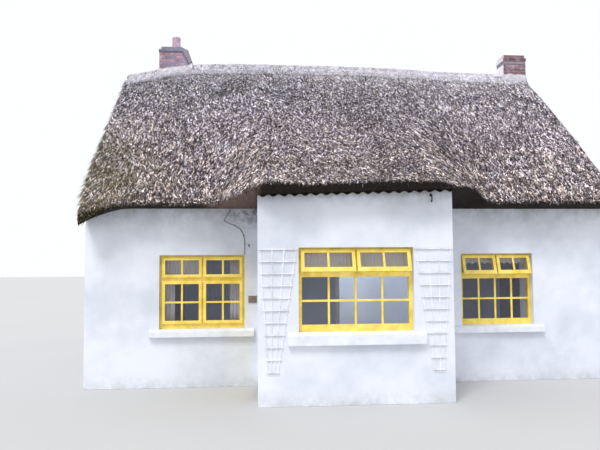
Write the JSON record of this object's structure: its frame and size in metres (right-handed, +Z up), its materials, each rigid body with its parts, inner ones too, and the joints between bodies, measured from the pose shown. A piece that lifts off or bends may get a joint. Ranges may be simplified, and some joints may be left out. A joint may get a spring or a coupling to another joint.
{
  "type": "thatched cottage",
  "caption": "Single-storey terraced thatched cottage with whitewashed walls, a projecting porch bay, yellow timber windows and brick chimneys.",
  "frame": {"origin": "on the ground under the middle of the main block, which is the middle of the floor slab's underside, at the mount ground_rest", "axes": "+X to the right along the front, +Y into the house, +Z up"},
  "size_m": [8.65, 8.07, 6.7623],
  "materials": {
    "limewash": "whitewashed smooth render on masonry, greyer and stained under the eaves",
    "white_sill": "white painted concrete sill, weathered",
    "yellow_paint": "warm yellow gloss paint on timber, weathered",
    "glass": "clear window glass",
    "straw": "old grey-brown straw thatch with pale stalks and a little moss",
    "ridge_straw": "paler bleached straw band dressed over the ridge",
    "brick": "weathered dark red brick with cement joints",
    "clay": "fired clay, sooty at the rim",
    "cement_sheet": "old fibre cement corrugated sheet, dark with age",
    "roof_timber": "rough sawn softwood",
    "concrete": "plain float-finished concrete",
    "white_lattice": "white painted thin battens",
    "plate": "bare weathered plate with a raised rim",
    "cable": "black sheathed cable"
  },
  "bodies": {
    "root": {"front_wall_left": "limewash", "front_wall_right": "limewash", "porch_wall_left": "limewash", "porch_wall_right": "limewash", "porch_lintel": "limewash", "back_wall": "limewash", "party_wall_left": "limewash", "party_wall_right": "limewash", "bay_front_wall": "limewash", "bay_right_wall": "limewash", "bay_left_wall_front": "limewash", "bay_left_wall_rear": "limewash", "bay_door_lintel": "limewash", "left_window_sill": "white_sill", "right_window_sill": "white_sill", "bay_window_sill": "white_sill", "back_window_left_sill": "white_sill", "back_window_right_sill": "white_sill", "left_window_vent_left": "yellow_paint", "left_window_vent_right": "yellow_paint", "left_window_casement_left": "yellow_paint", "left_window_casement_right": "yellow_paint", "left_window_frame": "yellow_paint", "right_window_vent_left": "yellow_paint", "right_window_vent_right": "yellow_paint", "right_window_frame": "yellow_paint", "bay_window_vent_left": "yellow_paint", "bay_window_vent_right": "yellow_paint", "bay_window_frame": "yellow_paint", "back_window_left_frame": "yellow_paint", "back_window_right_frame": "yellow_paint", "door_frame": "yellow_paint", "front_door": "yellow_paint", "left_window_glass": "glass", "right_window_glass": "glass", "bay_window_glass": "glass", "back_window_left_glass": "glass", "back_window_right_glass": "glass", "thatch_front": "straw", "thatch_back": "straw", "thatch_ridge": "ridge_straw", "chimney_left": "brick", "chimney_right": "brick", "chimney_pot": "clay", "bay_sheet": "cement_sheet", "roof_timbers": "roof_timber", "floor": "concrete", "trellis_left": "white_lattice", "trellis_right": "white_lattice", "number_plate": "plate", "wall_cable": "cable"}
  },
  "joints": []
}
